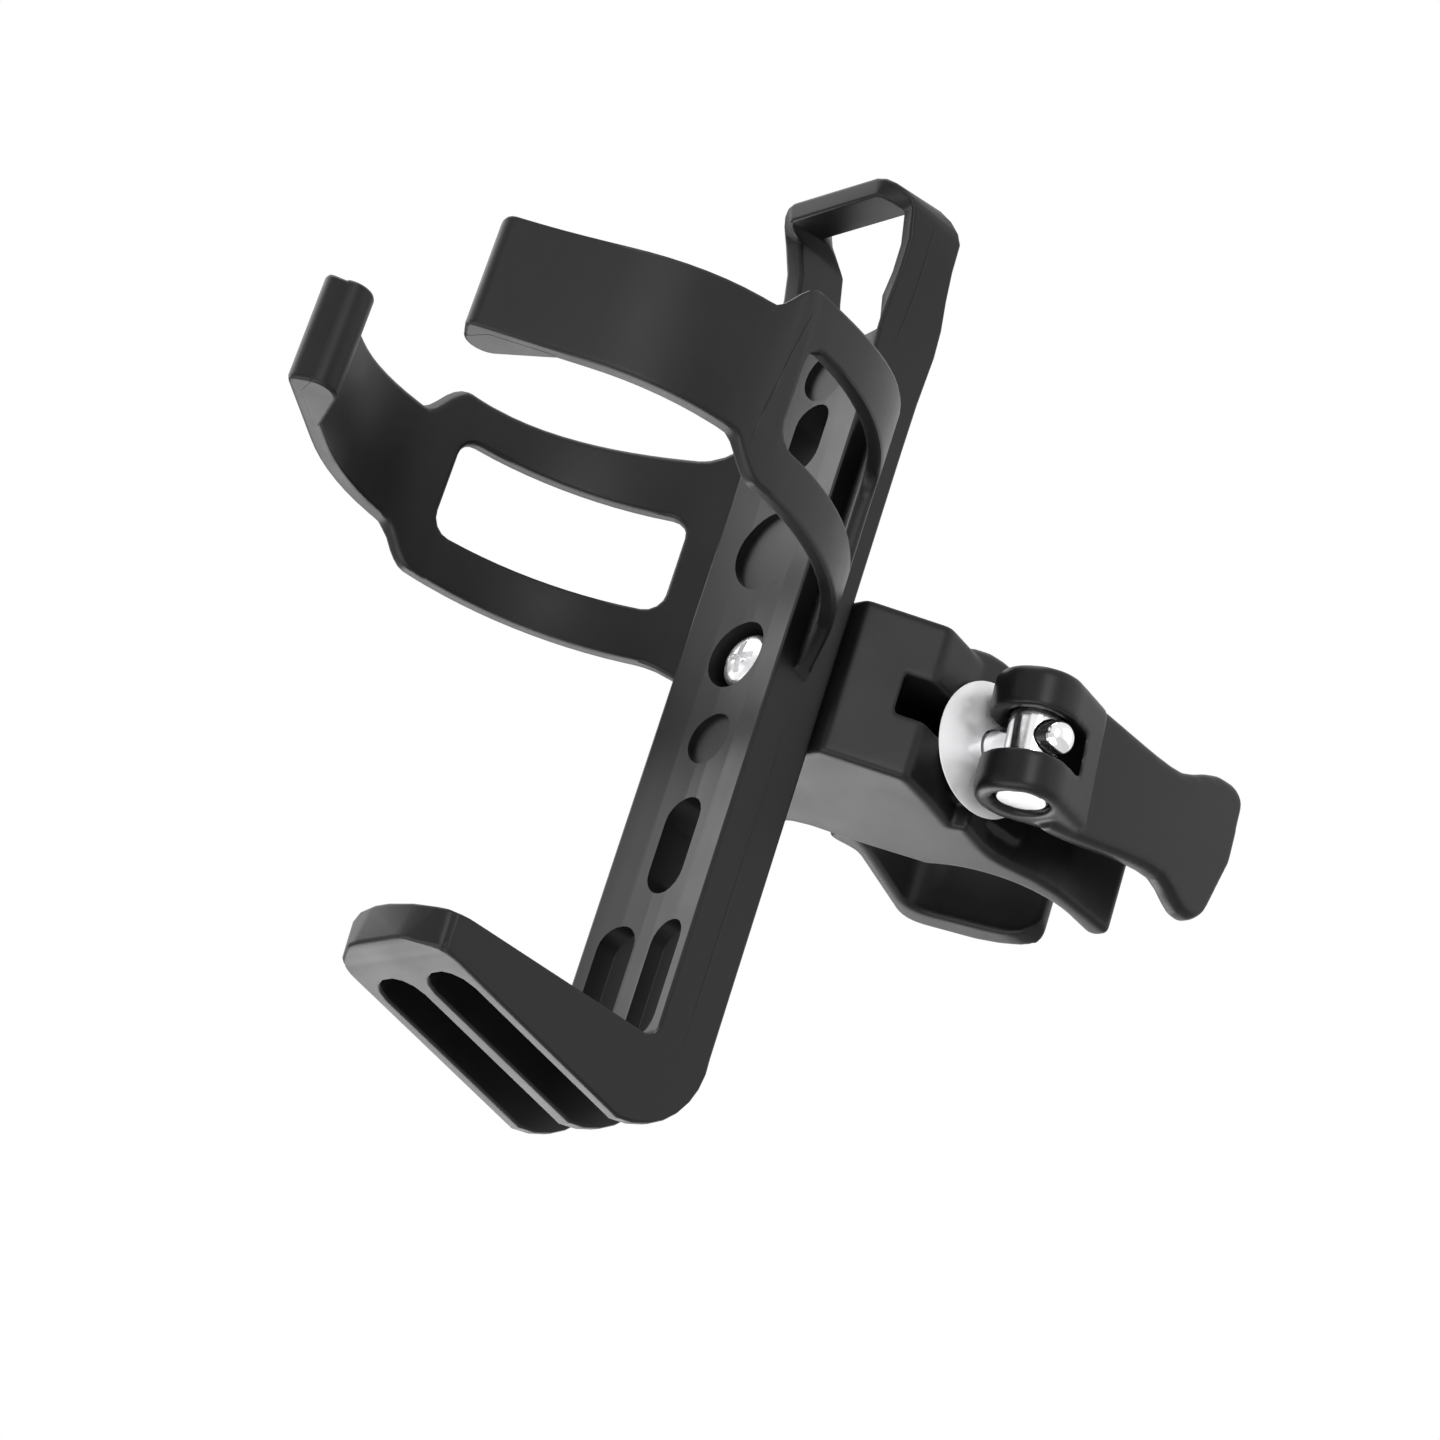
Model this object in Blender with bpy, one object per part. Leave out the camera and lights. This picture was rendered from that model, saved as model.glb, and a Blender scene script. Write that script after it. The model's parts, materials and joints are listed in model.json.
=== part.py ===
"""Bottle cage with a quick-release tube clamp.

A one-piece moulded cage (channel spine, top loop, foot and two sprung arms) is screwed to a pincer clamp:
a fixed jaw, a hooked swing jaw on a hinge pin, and a T-headed bolt that a cam lever draws tight.
The origin is on the axis of the clamped tube, level with the cage screw. +Z runs up the tube and the spine,
the bottle side is -Y, and the lever is on the +X side. Lengths are in metres.
"""

import math

import bmesh
import bpy
from mathutils import Matrix, Vector

MM = 0.001

# Fits
GAP = 0.3 * MM
TUBE_TO_SPINE = 58.0 * MM

# Spine
SPINE_WIDTH = 22.2 * MM
SPINE_DEPTH = 10.0 * MM
SIDE_WALL = 2.2 * MM
WEB = 2.4 * MM
DISH = 1.3 * MM
RIM = 0.6 * MM
WEB_TOP = 53.0 * MM
RIB = 2.6 * MM
RIB_TOP = -41.0 * MM
MOULD_EDGE = 0.5 * MM

# Top loop
LOOP_TOP = 75.3 * MM
LOOP_WALL = 2.9 * MM
LOOP_FLARE = 2.6 * MM
LOOP_LIP = 6.5 * MM
LOOP_LEAN = 1.5 * MM
LOOP_DROOP = 1.4 * MM
LOOP_CORNER = 5.0 * MM
LOOP_BACK_RADIUS = 7.5 * MM
LOOP_BACK_INSET = 2.8 * MM

# Foot
FOOT_TOP = -62.3 * MM
FOOT_REACH = 41.3 * MM
FOOT_TIP_DEPTH = 4.9 * MM
HEEL_DEPTH = 12.7 * MM
FOOT_BEND = 2.0 * MM
FOOT_NOSE_RADIUS = 16.2 * MM
FOOT_NOSE_SOLID = 8.3 * MM

# Holes in the spine, with heights from the cage screw
SCREW_HOLE_RADIUS = 5.3 * MM
OVAL_Z = 36.4 * MM
OVAL_LENGTH = 11.4 * MM
OVAL_WIDTH = 6.6 * MM
OBLONG_Z = -30.7 * MM
OBLONG_LENGTH = 15.2 * MM
OBLONG_WIDTH = 7.0 * MM
LONG_SLOT_TOP = -43.0 * MM
LONG_SLOT_WIDTH = 6.8 * MM
RECESS_DEPTH = 0.7 * MM
SMALL_RECESS_Z = -13.7 * MM
SMALL_RECESS_RADIUS = 4.0 * MM
LARGE_RECESS_Z = 17.4 * MM
LARGE_RECESS_RADIUS = 6.6 * MM
TOP_RECESS_Z = 47.2 * MM
TOP_RECESS_RADIUS = 4.4 * MM
BOSS_RADIUS = 7.6 * MM
COLLAR = 1.6 * MM

# Arms
ARM_RADIUS = 37.5 * MM
ARM_CENTRE = -35.3 * MM
ARM_WALL = 2.4 * MM
ARM_INNER_DROP = 1.2 * MM
ARM_STRAIGHT_DEG = 128.0
ARM_TIP_RUN = 17.2 * MM
ARM_EDGE = 0.7 * MM
BAND_PROUD = 0.3 * MM
BAND_BOTTOM = 5.0 * MM
BAND_TOP = 25.2 * MM
BAND_TIP_TOP = 22.4 * MM
FRAME_RADIUS = 45.0 * MM
FRAME_BOTTOM = 0.4 * MM
FRAME_TOP = 31.4 * MM
FRAME_ROOT_TOP = 36.2 * MM
ROOT_RISE = 10.0 * MM
FRAME_ROOT_BOTTOM = -4.5 * MM
STEP_FROM_DEG = 86.0
STEP_TO_DEG = 96.0
CREASE_LEAN_DEG = 7.0
CREASE_STEP = 1.1 * MM
WINDOW_BOTTOM = 8.0 * MM
WINDOW_TOP = 23.6 * MM
WINDOW_RISE = 1.2 * MM
WINDOW_CORNER = 3.0 * MM
WINDOW_FROM_DEG = 36.5
WINDOW_TO_DEG = 84.5
LIP_WALL = 5.2 * MM
LIP_LENGTH = 8.0 * MM
LIP_ROUND = 1.7 * MM

# Cage screw, washer and nut
SCREW_RADIUS = 2.5 * MM
SCREW_HEAD_RADIUS = 4.3 * MM
SCREW_HEAD_HEIGHT = 2.8 * MM
SCREW_SEAT = 7.0 * MM
CROSS_LENGTH = 5.0 * MM
CROSS_WIDTH = 1.1 * MM
CROSS_DEPTH = 1.5 * MM
SCREW_WASHER_RADIUS = 4.8 * MM
SCREW_WASHER = 0.8 * MM
NUT_ACROSS = 8.0 * MM
NUT_HEIGHT = 3.6 * MM
NUT_COVER = 2.0 * MM

# Clamp body
CLAMP_UNIT = 1.0 * MM
CLAMP_HEIGHT = 25.0 * MM
CLAMP_EDGE = 0.8 * MM
SADDLE_RADIUS = 16.3 * MM
BOLT_FROM_TUBE = 23.8 * MM
BOLT_SLOT_HEIGHT = 6.2 * MM
BOLT_SLOT_FRONT = 17.2 * MM
WASHER_SEAT = 19.3 * MM
WASHER_SEAT_RADIUS = 5.2 * MM
SEAT_BOSS_RADIUS = 15.0 * MM
SEAT_BOSS_DROP = 8.6 * MM
SEAT_BOSS_LOW = 12.0 * MM
SEAT_BOSS_HIGH = 18.0 * MM
LUG_DEPTH = 3.5 * MM
LUG_HEIGHT = 2.6 * MM

# Swing jaw and hinge pin
JAW_HEIGHT = 16.0 * MM
JAW_EDGE = 0.8 * MM
JAW_TIP_CORNER = 5.0 * MM
JAW_TIP_X = -2.4 * MM
HINGE_X = -9.6 * MM
HINGE_FROM_TUBE = 40.2 * MM
HINGE_PIN_RADIUS = 2.0 * MM
KNUCKLE_RADIUS = 4.3 * MM

# Bolt, washer, barrel
BOLT_RADIUS = 2.5 * MM
BOLT_TIP = 2.2 * MM
T_HEAD_RADIUS = 2.8 * MM
T_HEAD_LENGTH = 12.0 * MM
T_HEAD_X = -13.4 * MM
T_HEAD_PLAY = 0.5 * MM
DISH_WASHER_RADIUS = 9.9 * MM
DISH_WASHER = 0.9 * MM
DISH_WASHER_RISE = 0.35 * MM
BARREL_RADIUS = 3.9 * MM
BARREL_INSET = 0.7 * MM

# Cam lever
PIVOT_X = 28.2 * MM
LEVER_SWIVEL_DEG = 6.0
CAM_LIFT = 1.2 * MM
CAM_TURN_DEG = 110.0
EAR_HALF_WIDTH = 9.6 * MM
EAR_SLOT_HALF = 3.3 * MM
EAR_SLOT_RADIUS = 7.3 * MM
PADDLE_LENGTH = 44.4 * MM
PADDLE_THICKNESS = 3.6 * MM
PADDLE_SHOULDER = 10.6 * MM
PADDLE_WAIST = 8.4 * MM
PADDLE_FLARE = 11.6 * MM
PADDLE_END_RADIUS = 30.0 * MM
PADDLE_END_SLANT_DEG = 11.5
PADDLE_CORNER = 2.2 * MM
PADDLE_CURVE = 2.0 * MM
PADDLE_EDGE = 0.8 * MM
HEAD_EDGE = 1.2 * MM
HEAD_FILLET = 1.5 * MM

HALF_WIDTH = SPINE_WIDTH / 2
ROUND = 32


# Scene and materials


def clear_scene():
    for obj in list(bpy.data.objects):
        bpy.data.objects.remove(obj, do_unlink=True)


def material(name, colour, roughness, metallic):
    made = bpy.data.materials.new(name)
    made.use_nodes = True
    shader = made.node_tree.nodes["Principled BSDF"]
    shader.inputs["Base Color"].default_value = (*colour, 1.0)
    shader.inputs["Roughness"].default_value = roughness
    shader.inputs["Metallic"].default_value = metallic
    return made


# Mesh helpers


def place(name, bm, finish, at=(0, 0, 0), parent=None):
    """Turns a bmesh into a named object with its origin at the given point of its parent."""
    bmesh.ops.remove_doubles(bm, verts=bm.verts, dist=1e-7)
    bmesh.ops.recalc_face_normals(bm, faces=bm.faces)
    mesh = bpy.data.meshes.new(name)
    bm.to_mesh(mesh)
    bm.free()
    mesh.materials.append(finish)
    mesh.shade_smooth()
    mesh.set_sharp_from_angle(angle=math.radians(35))
    obj = bpy.data.objects.new(name, mesh)
    bpy.context.scene.collection.objects.link(obj)
    obj.parent = parent
    obj.location = at
    return obj


def combine(target, other, operation):
    """Adds a Boolean to target and keeps the other object as a hidden helper."""
    other.hide_render = True
    other.display_type = "WIRE"
    step = target.modifiers.new(other.name, "BOOLEAN")
    step.operation = operation
    step.solver = "EXACT"
    step.object = other


def cut(target, *cutters):
    for cutter in cutters:
        combine(target, cutter, "DIFFERENCE")


def join(target, *pieces):
    for piece in pieces:
        combine(target, piece, "UNION")


def rounded(corners, per_quarter=5):
    """A closed outline from corners (x, y) or (x, y, radius), with an arc at each radius."""
    points = []
    count = len(corners)
    for i, corner in enumerate(corners):
        here = Vector(corner[:2])
        radius = corner[2] if len(corner) > 2 else 0.0
        before = (Vector(corners[i - 1][:2]) - here).normalized()
        after = (Vector(corners[(i + 1) % count][:2]) - here).normalized()
        half = before.angle(after) / 2
        if radius <= 0 or half > math.radians(89):
            points.append(here)
            continue
        reach = radius / math.tan(half)
        centre = here + (before + after).normalized() * radius / math.sin(half)
        start = here + before * reach - centre
        sweep = math.pi - 2 * half
        if before.x * after.y - before.y * after.x > 0:
            sweep = -sweep
        steps = max(1, round(per_quarter * abs(sweep) / (math.pi / 2)))
        for k in range(steps + 1):
            turn = Matrix.Rotation(sweep * k / steps, 2)
            points.append(centre + turn @ start)
    return points


def arc(centre, radius, from_deg, to_deg, steps):
    """Points on an arc, with angles counted from +x towards +y."""
    made = []
    for k in range(steps + 1):
        angle = math.radians(from_deg + (to_deg - from_deg) * k / steps)
        made.append(Vector((centre[0] + radius * math.cos(angle), centre[1] + radius * math.sin(angle))))
    return made


AXES = {
    "X": lambda u, v, w: (w, u, v),
    "Y": lambda u, v, w: (u, w, v),
    "Z": lambda u, v, w: (u, v, w),
}


def bevel(bm, edges, offset, segments):
    bmesh.ops.bevel(
        bm, geom=edges, offset=offset, offset_type="OFFSET", segments=segments, profile=0.5, affect="EDGES"
    )


def prism(outline, axis, low, high, edge=0.0, segments=2):
    """An outline in the two axes other than the given one, extruded from low to high, edges rounded."""
    bm = bmesh.new()
    to_space = AXES[axis]
    rings = [[bm.verts.new(to_space(p[0], p[1], w)) for p in outline] for w in (low, high)]
    bm.faces.new(rings[0])
    bm.faces.new(list(reversed(rings[1])))
    count = len(outline)
    for i in range(count):
        j = (i + 1) % count
        bm.faces.new((rings[0][j], rings[0][i], rings[1][i], rings[1][j]))
    bmesh.ops.recalc_face_normals(bm, faces=bm.faces)
    if edge > 0:
        rims = [e for e in bm.edges if any(all(v in ring for v in e.verts) for ring in rings)]
        bevel(bm, rims, edge, segments)
    return bm


def turned(profile, axis, steps=ROUND):
    """A closed solid of revolution from (radius, along) points, from axis to axis or round a ring."""
    bm = bmesh.new()
    to_space = AXES[axis]
    rings = []
    for radius, along in profile:
        if radius <= 0:
            rings.append([bm.verts.new(to_space(0, 0, along))])
            continue
        ring = []
        for k in range(steps):
            angle = 2 * math.pi * k / steps
            ring.append(bm.verts.new(to_space(radius * math.cos(angle), radius * math.sin(angle), along)))
        rings.append(ring)
    closed = profile[0][0] > 0
    pairs = list(zip(rings, rings[1:]))
    if closed:
        pairs.append((rings[-1], rings[0]))
    for first, second in pairs:
        for k in range(steps):
            n = (k + 1) % steps
            corners = [first[k % len(first)], first[n % len(first)]]
            corners += [second[n % len(second)], second[k % len(second)]]
            unique = list(dict.fromkeys(corners))
            if len(unique) > 2:
                bm.faces.new(unique)
    bmesh.ops.recalc_face_normals(bm, faces=bm.faces)
    return bm


def rod(axis, radius, low, high, chamfer=0.0, steps=ROUND):
    """A solid round bar with chamfered ends."""
    if chamfer <= 0:
        return turned([(0, low), (radius, low), (radius, high), (0, high)], axis, steps)
    profile = [(0, low), (radius - chamfer, low), (radius, low + chamfer)]
    profile += [(radius, high - chamfer), (radius - chamfer, high), (0, high)]
    return turned(profile, axis, steps)


def moved(bm, x=0.0, y=0.0, z=0.0):
    bmesh.ops.translate(bm, verts=bm.verts, vec=(x, y, z))
    return bm


def ease(t):
    t = min(1.0, max(0.0, t))
    return t * t * (3 - 2 * t)


def round_sharp_edges(bm, offset, least_deg, segments=2, keep=lambda edge: True):
    least = math.radians(least_deg)
    edges = [e for e in bm.edges if e.is_manifold and e.calc_face_angle(0) > least and keep(e)]
    bevel(bm, edges, offset, segments)


# Cage spine, loop and foot: one section swept from the loop down the spine and out along the foot


def spine_half_width(z):
    share = (z - 0.55 * LOOP_TOP) / (0.38 * LOOP_TOP)
    return HALF_WIDTH + LOOP_FLARE * min(1.0, max(0.0, share)) ** 1.6


def rim_front(z):
    """How far forward of the spine's front the rims and the loop's front edge stand at this height."""
    lean = LOOP_LEAN * ease((z - 0.53 * LOOP_TOP) / (0.2 * LOOP_TOP))
    lip = LOOP_LIP * max(0.0, (z - 0.73 * LOOP_TOP) / (0.27 * LOOP_TOP)) ** 4
    return -lean - lip


def loop_back(z):
    """The loop's back edge, rounded off towards the top."""
    rise = min(LOOP_BACK_RADIUS, max(0.0, z - (LOOP_TOP - LOOP_BACK_RADIUS)))
    inset = LOOP_BACK_INSET * ease((z - WEB_TOP) / (0.2 * LOOP_TOP))
    return SPINE_DEPTH - inset - LOOP_BACK_RADIUS + math.sqrt(LOOP_BACK_RADIUS**2 - rise**2)


def dish_at(x, depth):
    """Depth of the hollowed front face at a distance x from its middle."""
    half = HALF_WIDTH - RIM
    return depth * max(0.0, 1 - (x / half) ** 2)


class Section:
    """The named corners of the swept section at one station; groove narrows the hollows beside the rib."""

    def __init__(self, bm, at, half, depth, dish, rim=0.0, groove=1.0):
        inner = half - SIDE_WALL
        groove_middle = (inner + RIB / 2) / 2
        groove_half = groove * (inner - RIB / 2) / 2
        wall = groove_middle + groove_half
        rib = groove_middle - groove_half
        columns = [inner, 0.62 * inner, RIB / 2]
        xs = [half, half - RIM, *columns, *[-x for x in reversed(columns)], RIM - half, -half]
        fronts = [rim, rim, *[dish_at(x, dish) for x in xs[2:-2]], rim, rim]
        back = dish + WEB
        make = lambda x, v: bm.verts.new(at(x, v))
        self.front = [make(x, v) for x, v in zip(xs, fronts)]
        self.xs = xs
        self.left_wall = [make(-half, depth), make(-wall, depth), make(-wall, back)]
        self.right_wall = [make(wall, back), make(wall, depth), make(half, depth)]
        self.rib_root = [make(-rib, back), make(rib, back)]
        self.rib_edge = [make(-rib, depth), make(rib, depth)]

    def plain(self):
        return self.front + self.left_wall + self.rib_root + self.right_wall

    def ribbed(self):
        a, b = self.rib_root
        return self.front + self.left_wall + [a, *self.rib_edge, b] + self.right_wall


def skin(bm, first, second):
    count = len(first)
    for i in range(count):
        j = (i + 1) % count
        bm.faces.new((first[i], first[j], second[j], second[i]))


def spine_mesh():
    bm = bmesh.new()

    def upright(z):
        return lambda x, v: (x, v, z)

    def station(z):
        return Section(bm, upright(z), spine_half_width(z), SPINE_DEPTH, DISH, rim_front(z))

    heights = [WEB_TOP, 0.85 * WEB_TOP, 0.7 * WEB_TOP, 0.3 * WEB_TOP, 0.3 * RIB_TOP, RIB_TOP]
    spine = [station(z) for z in heights]
    for upper, lower in zip(spine, spine[1:]):
        skin(bm, upper.plain(), lower.plain())
    start = spine[-1]
    bm.faces.new((*start.rib_root, *reversed(start.rib_edge)))

    # Bend at the heel, turning about a line in front of the inner corner
    centre_y = -FOOT_BEND
    centre_z = FOOT_TOP + FOOT_BEND
    bend_steps = 8
    bend = []
    for k in range(bend_steps + 1):
        turn = math.pi / 2 * k / bend_steps
        share = k / bend_steps

        def around(x, v, turn=turn):
            reach = FOOT_BEND + v
            return (x, centre_y + reach * math.cos(turn), centre_z - reach * math.sin(turn))

        depth = SPINE_DEPTH + (HEEL_DEPTH - SPINE_DEPTH) * share
        bend.append(Section(bm, around, HALF_WIDTH, depth, DISH * (1 - share)))

    # Foot, tapering to its tip
    def foot_depth(y):
        return HEEL_DEPTH + (FOOT_TIP_DEPTH - HEEL_DEPTH) * (-y - FOOT_BEND) / (FOOT_REACH - FOOT_BEND)

    nose_start = FOOT_NOSE_SOLID - FOOT_REACH
    groove_radius = (HALF_WIDTH - SIDE_WALL - RIB / 2) / 2
    ends = []
    for degrees in (90, 62, 38, 16):
        turn = math.radians(degrees)
        y = nose_start + groove_radius * (1 - math.cos(turn))

        def along(x, v, y=y):
            return (x, y, FOOT_TOP - v)

        ends.append(Section(bm, along, HALF_WIDTH, foot_depth(y), 0.0, groove=math.sin(turn)))
    foot = ends[-1]
    swept = [start, *bend, *ends]
    for upper, lower in zip(swept, swept[1:]):
        skin(bm, upper.ribbed(), lower.ribbed())

    # Solid nose with a round end
    def nose_end(x):
        radius = FOOT_NOSE_RADIUS
        return -FOOT_REACH + radius - math.sqrt(radius**2 - min(abs(x), 0.98 * radius) ** 2)

    _, end_y, bottom_z = foot.rib_edge[0].co
    column = foot.xs[3]
    extra_left = bm.verts.new((-column, end_y, bottom_z))
    extra_right = bm.verts.new((column, end_y, bottom_z))
    bm.faces.new((foot.left_wall[1], foot.left_wall[2], foot.rib_root[0], foot.rib_edge[0], extra_left))
    bm.faces.new((foot.right_wall[1], foot.right_wall[0], foot.rib_root[1], foot.rib_edge[1], extra_right))
    under = [foot.left_wall[0], foot.left_wall[1], extra_left, *foot.rib_edge]
    under += [extra_right, foot.right_wall[1], foot.right_wall[2]]
    ring = foot.front + under
    mid = 0.5
    rings = [ring]
    for share in (mid, 1.0):
        made = []
        for vert in ring:
            x, y, z = vert.co
            end = nose_end(x)
            at_y = y + (end - y) * share
            at_z = z if z > FOOT_TOP - 1e-9 else FOOT_TOP - foot_depth(at_y)
            made.append(bm.verts.new((x, at_y, at_z)))
        rings.append(made)
    for first, second in zip(rings, rings[1:]):
        skin(bm, first, second)
    last = rings[-1]
    top = last[: len(foot.front)]
    low = list(reversed(last[len(foot.front) :]))
    bm.faces.new((top[0], top[1], top[2], low[1], low[0]))
    bm.faces.new((top[-1], low[-1], low[-2], top[-3], top[-2]))
    for i in range(1, len(low) - 2):
        bm.faces.new((top[i + 1], top[i + 2], low[i + 1], low[i]))

    # Top loop: the two side walls go on and join in an arch
    head = spine[0]
    inner_web = head.front[2:-2] + [head.left_wall[2]] + head.rib_root + [head.right_wall[0]]
    bm.faces.new(inner_web)
    right = head.front[:3] + head.right_wall
    left = [head.front[-1], head.front[-2], head.front[-3], *reversed(head.left_wall)]
    path = loop_path()
    rings = [right]
    for x, z, nx, nz in path:
        droop = LOOP_DROOP * ease((z - (LOOP_TOP - LOOP_CORNER)) / LOOP_CORNER)
        front = rim_front(z)
        back = loop_back(z)
        in_x = x + nx * LOOP_WALL
        in_z = z + nz * LOOP_WALL
        rim_x = x + nx * RIM
        rim_z = z + nz * RIM
        web = DISH + WEB
        made = [
            (x, front, z - droop),
            (rim_x, front, rim_z - droop),
            (in_x, front + RIM, in_z - droop),
            (in_x, min(web, 0.5 * (front + back)), in_z - 0.5 * droop),
            (in_x, back, in_z),
            (x, back, z),
        ]
        rings.append([bm.verts.new(p) for p in made])
    rings.append(left)
    for first, second in zip(rings, rings[1:]):
        skin(bm, first, second)
    loose = [v for v in bm.verts if not v.link_faces]
    bmesh.ops.delete(bm, geom=loose, context="VERTS")
    bmesh.ops.recalc_face_normals(bm, faces=bm.faces)
    round_sharp_edges(bm, MOULD_EDGE, 40)
    return bm


def loop_path():
    """Points up the right wall, over the arch and down the left, as x, z and the inward direction."""
    made = []
    corner_z = LOOP_TOP - LOOP_CORNER
    sides = 4
    for k in range(1, sides + 1):
        z = WEB_TOP + (corner_z - WEB_TOP) * k / sides
        made.append((spine_half_width(z), z, -1.0, 0.0))
    top_half = spine_half_width(corner_z) - LOOP_CORNER
    steps = 5
    for k in range(1, steps + 1):
        turn = math.pi / 2 * k / steps
        x = top_half + LOOP_CORNER * math.cos(turn)
        z = corner_z + LOOP_CORNER * math.sin(turn)
        made.append((x, z, -math.cos(turn), -math.sin(turn)))
    mirrored = [(-x, z, -nx, nz) for x, z, nx, nz in reversed(made)]
    return made + mirrored


# Cage arms


def arm_runs():
    """Where the arm's outer face starts in the side wall, and the lengths of its frame and band."""
    root_x = HALF_WIDTH - 0.35 * SIDE_WALL
    root_angle = math.asin((root_x - (ARM_RADIUS - FRAME_RADIUS)) / FRAME_RADIUS)
    frame = FRAME_RADIUS * (math.pi / 2 - root_angle)
    band = ARM_RADIUS * math.radians(ARM_STRAIGHT_DEG - 90)
    return root_angle, frame, band


def arm_at(run):
    """Point on the arm's outer face, outward normal and turn in degrees, at a run along it from its root."""
    root_angle, frame, band = arm_runs()
    if run <= frame:
        angle = root_angle + run / FRAME_RADIUS
        centre = Vector((ARM_RADIUS - FRAME_RADIUS, ARM_CENTRE))
        radius = FRAME_RADIUS
    else:
        angle = math.pi / 2 + min(run - frame, band) / ARM_RADIUS
        centre = Vector((0.0, ARM_CENTRE))
        radius = ARM_RADIUS
    normal = Vector((math.sin(angle), math.cos(angle)))
    ahead = Vector((normal.y, -normal.x))
    past = max(0.0, run - frame - band)
    return centre + radius * normal + ahead * past, normal, math.degrees(angle)


def arm_stations():
    """Runs along the arm: even steps, with closer ones at the window's rounded ends and at the crease."""
    root_angle, frame, band = arm_runs()
    total = frame + band + ARM_TIP_RUN
    first = FRAME_RADIUS * (math.radians(WINDOW_FROM_DEG) - root_angle)
    last = FRAME_RADIUS * (math.radians(WINDOW_TO_DEG) - root_angle)
    fixed = [0.0, first, last, total]
    for share in (0.07, 0.29, 0.62, 1.0):
        fixed += [first + share * WINDOW_CORNER, last - share * WINDOW_CORNER]
    crease = FRAME_RADIUS * (math.radians(STEP_FROM_DEG) - root_angle)
    fixed += [crease + k * CREASE_STEP for k in range(9)]
    steps = 34
    even = [total * k / steps for k in range(1, steps)]
    clear = 0.8 * CREASE_STEP
    runs = fixed + [s for s in even if min(abs(s - f) for f in fixed) > clear]
    return sorted(runs), first, last


def arm_mesh(side):
    """One arm: a ribbon with a framed window, a stepped front band and a thick lip, on the +X or -X side."""
    bm = bmesh.new()
    runs, window_from, window_to = arm_stations()
    total = runs[-1]
    first = runs.index(window_from)
    last = runs.index(window_to)
    settle = 4 * WINDOW_CORNER
    columns = []
    for run in runs:
        point, normal, degrees = arm_at(run)
        step = ease((degrees - STEP_FROM_DEG) / (STEP_TO_DEG - STEP_FROM_DEG))
        to_tip = (run - window_to) / (total - window_to)
        to_root = 1 - min(1.0, run / window_to)
        bottom = FRAME_BOTTOM + (BAND_BOTTOM - FRAME_BOTTOM) * step
        gusset = max(0.0, 1 - run / (1.2 * window_from)) ** 2
        bottom += (FRAME_ROOT_BOTTOM - FRAME_BOTTOM) * gusset
        frame_top = FRAME_TOP + (FRAME_ROOT_TOP - FRAME_TOP) * ease(to_root) + ROOT_RISE * gusset
        band_top = BAND_TOP + (BAND_TIP_TOP - BAND_TOP) * ease(to_tip)
        top = frame_top + (band_top - frame_top) * step
        thickness = ARM_WALL + (LIP_WALL - ARM_WALL) * ease(1 - (total - run) / LIP_LENGTH)
        inside = min(run - window_from, window_to - run)
        fillet = WINDOW_CORNER
        if inside > 0:
            short = max(0.0, WINDOW_CORNER - inside)
            fillet = WINDOW_CORNER - math.sqrt(WINDOW_CORNER**2 - short**2)
        rise = WINDOW_RISE * to_root
        loosen = ease((run - window_to) / settle)
        third = (top - bottom) / 3
        low = WINDOW_BOTTOM + rise + fillet
        high = WINDOW_TOP + rise - fillet
        levels = [bottom, low + (bottom + third - low) * loosen, high + (top - third - high) * loosen, top]
        outer = []
        for z in levels:
            lean = CREASE_LEAN_DEG * (FRAME_TOP - z) / (FRAME_TOP - FRAME_BOTTOM)
            proud = BAND_PROUD * ease((degrees - STEP_FROM_DEG - lean) / 1.5)
            at = point + normal * proud
            outer.append(bm.verts.new((side * at.x, at.y, z)))
        inner = []
        for z in [*levels[:3], top - ARM_INNER_DROP]:
            at = point - normal * thickness
            inner.append(bm.verts.new((side * at.x, at.y, z)))
        columns.append([outer, inner])
    for i, (here, there) in enumerate(zip(columns, columns[1:])):
        framed = first <= i < last
        for face in (0, 1):
            for row in range(3):
                if framed and row == 1:
                    continue
                bm.faces.new((here[face][row], there[face][row], there[face][row + 1], here[face][row + 1]))
        rows = (0, 1, 2, 3) if framed else (0, 3)
        for row in rows:
            bm.faces.new((here[0][row], there[0][row], there[1][row], here[1][row]))
    for i in (first, last):
        bm.faces.new((columns[i][0][1], columns[i][0][2], columns[i][1][2], columns[i][1][1]))
    for column in (columns[0], columns[-1]):
        for row in range(3):
            bm.faces.new((column[0][row], column[0][row + 1], column[1][row + 1], column[1][row]))
    bmesh.ops.recalc_face_normals(bm, faces=bm.faces)
    tip_verts = set(columns[-1][0] + columns[-1][1])
    root_x = max(abs(v.co.x) for face in columns[0] for v in face)
    square = math.radians(40)
    upright = [e for e in bm.edges if all(v in tip_verts for v in e.verts) and e.calc_face_angle(0) > square]
    upright = [e for e in upright if abs(e.verts[0].co.z - e.verts[1].co.z) > 2 * ARM_EDGE]
    bevel(bm, upright, LIP_ROUND, 4)
    round_sharp_edges(bm, ARM_EDGE, 40, 2, lambda e: min(abs(v.co.x) for v in e.verts) > root_x)
    return bm


def slot_outline(width, length, x=0.0, z=0.0):
    radius = width / 2
    reach = length / 2 - radius
    return arc((x, z + reach), radius, 0, 180, 10) + arc((x, z - reach), radius, 180, 360, 10)


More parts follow.
